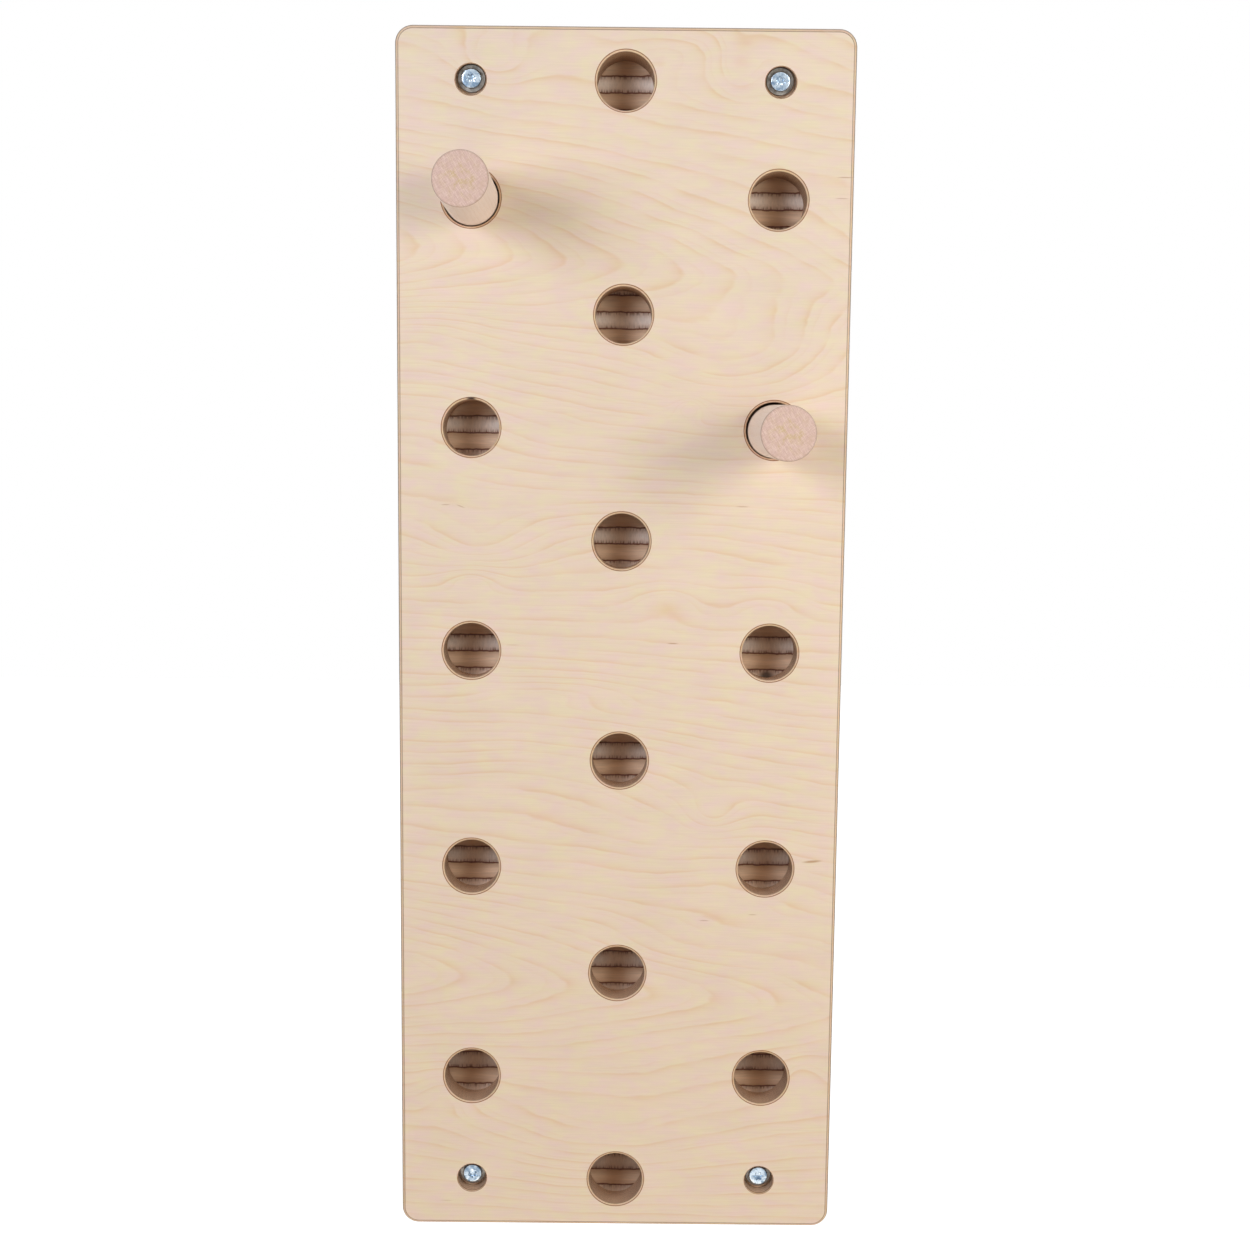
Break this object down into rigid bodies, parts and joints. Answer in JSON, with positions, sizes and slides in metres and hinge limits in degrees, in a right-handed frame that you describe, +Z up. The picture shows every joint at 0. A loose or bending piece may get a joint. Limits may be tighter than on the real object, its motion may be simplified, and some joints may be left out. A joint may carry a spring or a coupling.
{
  "type": "peg climbing board",
  "caption": "Tall plywood wall board with staggered columns of upward-slanting round holes, loose hardwood climbing pegs that slide out, and recessed corner screws that hold it to a wall.",
  "frame": {"origin": "centre of the board's flat back face, where it lies against the wall", "axes": "+Z up the board, +X to the climber's right, +Y out of the back face into the wall, so the climber is on the -Y side"},
  "size_m": [0.2974, 0.2058, 0.8178],
  "materials": {
    "birch_plywood": "clear satin lacquer on pale birch veneer, brown glue lines on the edges and in the holes",
    "beech": "sanded raw beech with pinkish end grain",
    "zinc_screw": "bright bluish zinc plating",
    "zinc_washer": "dull zinc plating"
  },
  "bodies": {
    "board_on_wall": {"board": "birch_plywood", "screw_top_left": "zinc_screw", "screw_top_right": "zinc_screw", "screw_bottom_left": "zinc_screw", "screw_bottom_right": "zinc_screw", "washer_top_left": "zinc_washer", "washer_top_right": "zinc_washer", "washer_bottom_left": "zinc_washer", "washer_bottom_right": "zinc_washer"},
    "left_peg": {"peg_left": "beech"},
    "right_peg": {"peg_right": "beech"}
  },
  "joints": [
    {"name": "left_peg_slide", "type": "slide", "parent": "board_on_wall", "child": "left_peg", "axis": [0, -0.9925, 0.1221], "range_m": [0, 0.06]},
    {"name": "right_peg_slide", "type": "slide", "parent": "board_on_wall", "child": "right_peg", "axis": [0.0182, -0.9948, 0.0999], "range_m": [0, 0.06]}
  ]
}
